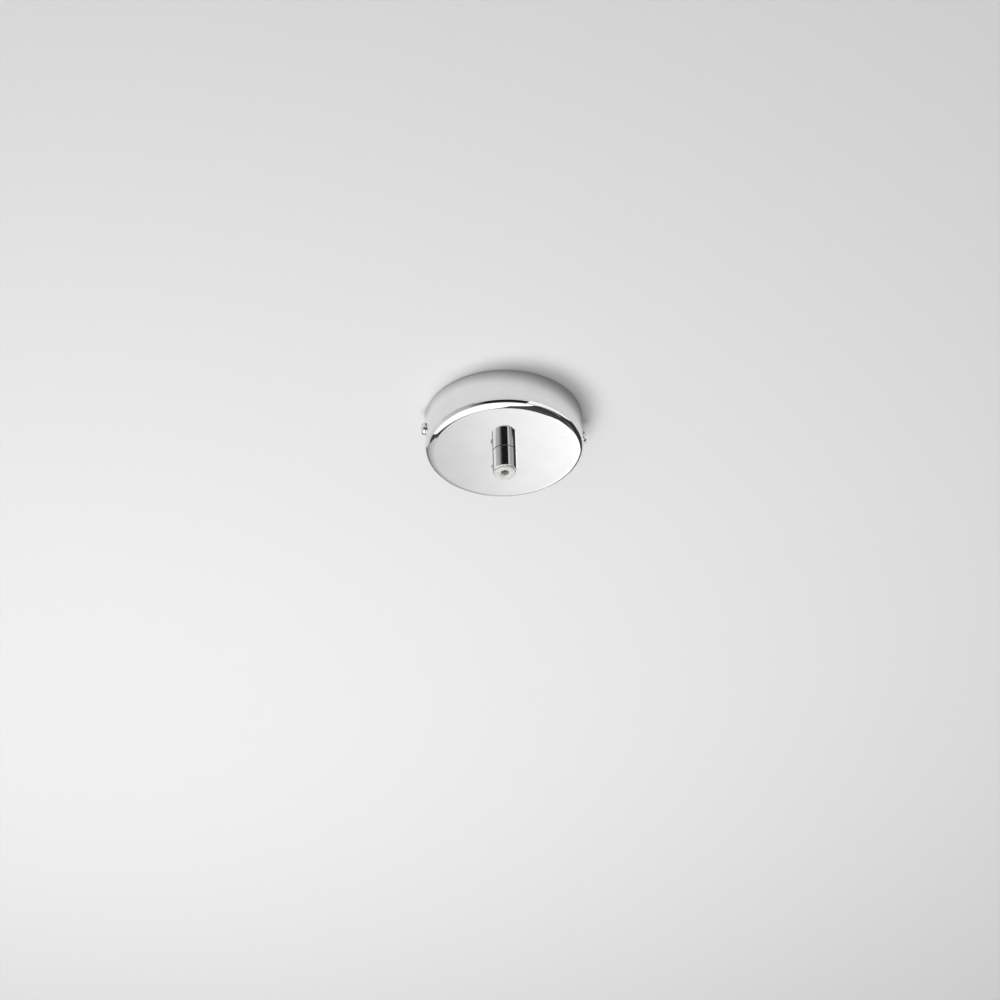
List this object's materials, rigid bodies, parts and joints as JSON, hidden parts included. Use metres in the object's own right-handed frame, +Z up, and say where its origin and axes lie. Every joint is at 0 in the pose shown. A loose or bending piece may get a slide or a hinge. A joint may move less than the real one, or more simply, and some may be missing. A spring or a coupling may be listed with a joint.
{
  "type": "electrical ceiling rose",
  "caption": "Round polished ceiling rose: a drawn cup held to a strap bracket by side screws, with a terminal block inside and a turned cord grip below for a hanging flex.",
  "frame": {"origin": "centre of the bracket's upper face, midway between the two ceiling slots, in the plane of the ceiling", "axes": "+Z up into the ceiling, +X along the bracket towards the right side screw, +Y away from the viewer; the cord grip hangs along -Z"},
  "size_m": [0.105, 0.1, 0.0436],
  "materials": {
    "polished_chrome": "mirror-polished chrome plate on drawn sheet and turned brass",
    "chrome_screw": "bright chrome plate",
    "zinc_plated_sheet": "rolled steel with bright zinc plate",
    "zinc_plated_hardware": "turned or stamped steel with bright zinc plate",
    "natural_nylon": "moulded natural nylon",
    "white_polyamide": "moulded white polyamide",
    "brass": "machined brass"
  },
  "bodies": {
    "rose": {"canopy": "polished_chrome", "mounting_bracket": "zinc_plated_sheet", "cord_grip_sleeve": "polished_chrome", "cord_bush": "natural_nylon", "threaded_nipple": "zinc_plated_hardware", "lock_nut": "zinc_plated_hardware", "lock_washer": "zinc_plated_hardware", "terminal_block_housing": "white_polyamide", "terminal_insert_1": "brass", "terminal_insert_2": "brass", "terminal_insert_3": "brass", "terminal_screw_1_supply": "zinc_plated_hardware", "terminal_screw_1_lamp": "zinc_plated_hardware", "terminal_screw_2_supply": "zinc_plated_hardware", "terminal_screw_2_lamp": "zinc_plated_hardware", "terminal_screw_3_supply": "zinc_plated_hardware", "terminal_screw_3_lamp": "zinc_plated_hardware", "block_screw_front": "zinc_plated_hardware", "block_screw_back": "zinc_plated_hardware", "earth_screw": "brass", "earth_washer": "brass"},
    "left_screw": {"side_screw_left": "chrome_screw"},
    "right_screw": {"side_screw_right": "chrome_screw"},
    "clamp": {"clamp_screw": "natural_nylon"}
  },
  "joints": [
    {"name": "left_screw_travel", "type": "slide", "parent": "rose", "child": "left_screw", "axis": [-1, 0, 0], "range_m": [0, 0.009]},
    {"name": "right_screw_travel", "type": "slide", "parent": "rose", "child": "right_screw", "axis": [1, 0, 0], "range_m": [0, 0.009]},
    {"name": "clamp_screw_travel", "type": "slide", "parent": "rose", "child": "clamp", "axis": [0.9063, -0.4226, 0], "range_m": [0, 0.002]}
  ]
}
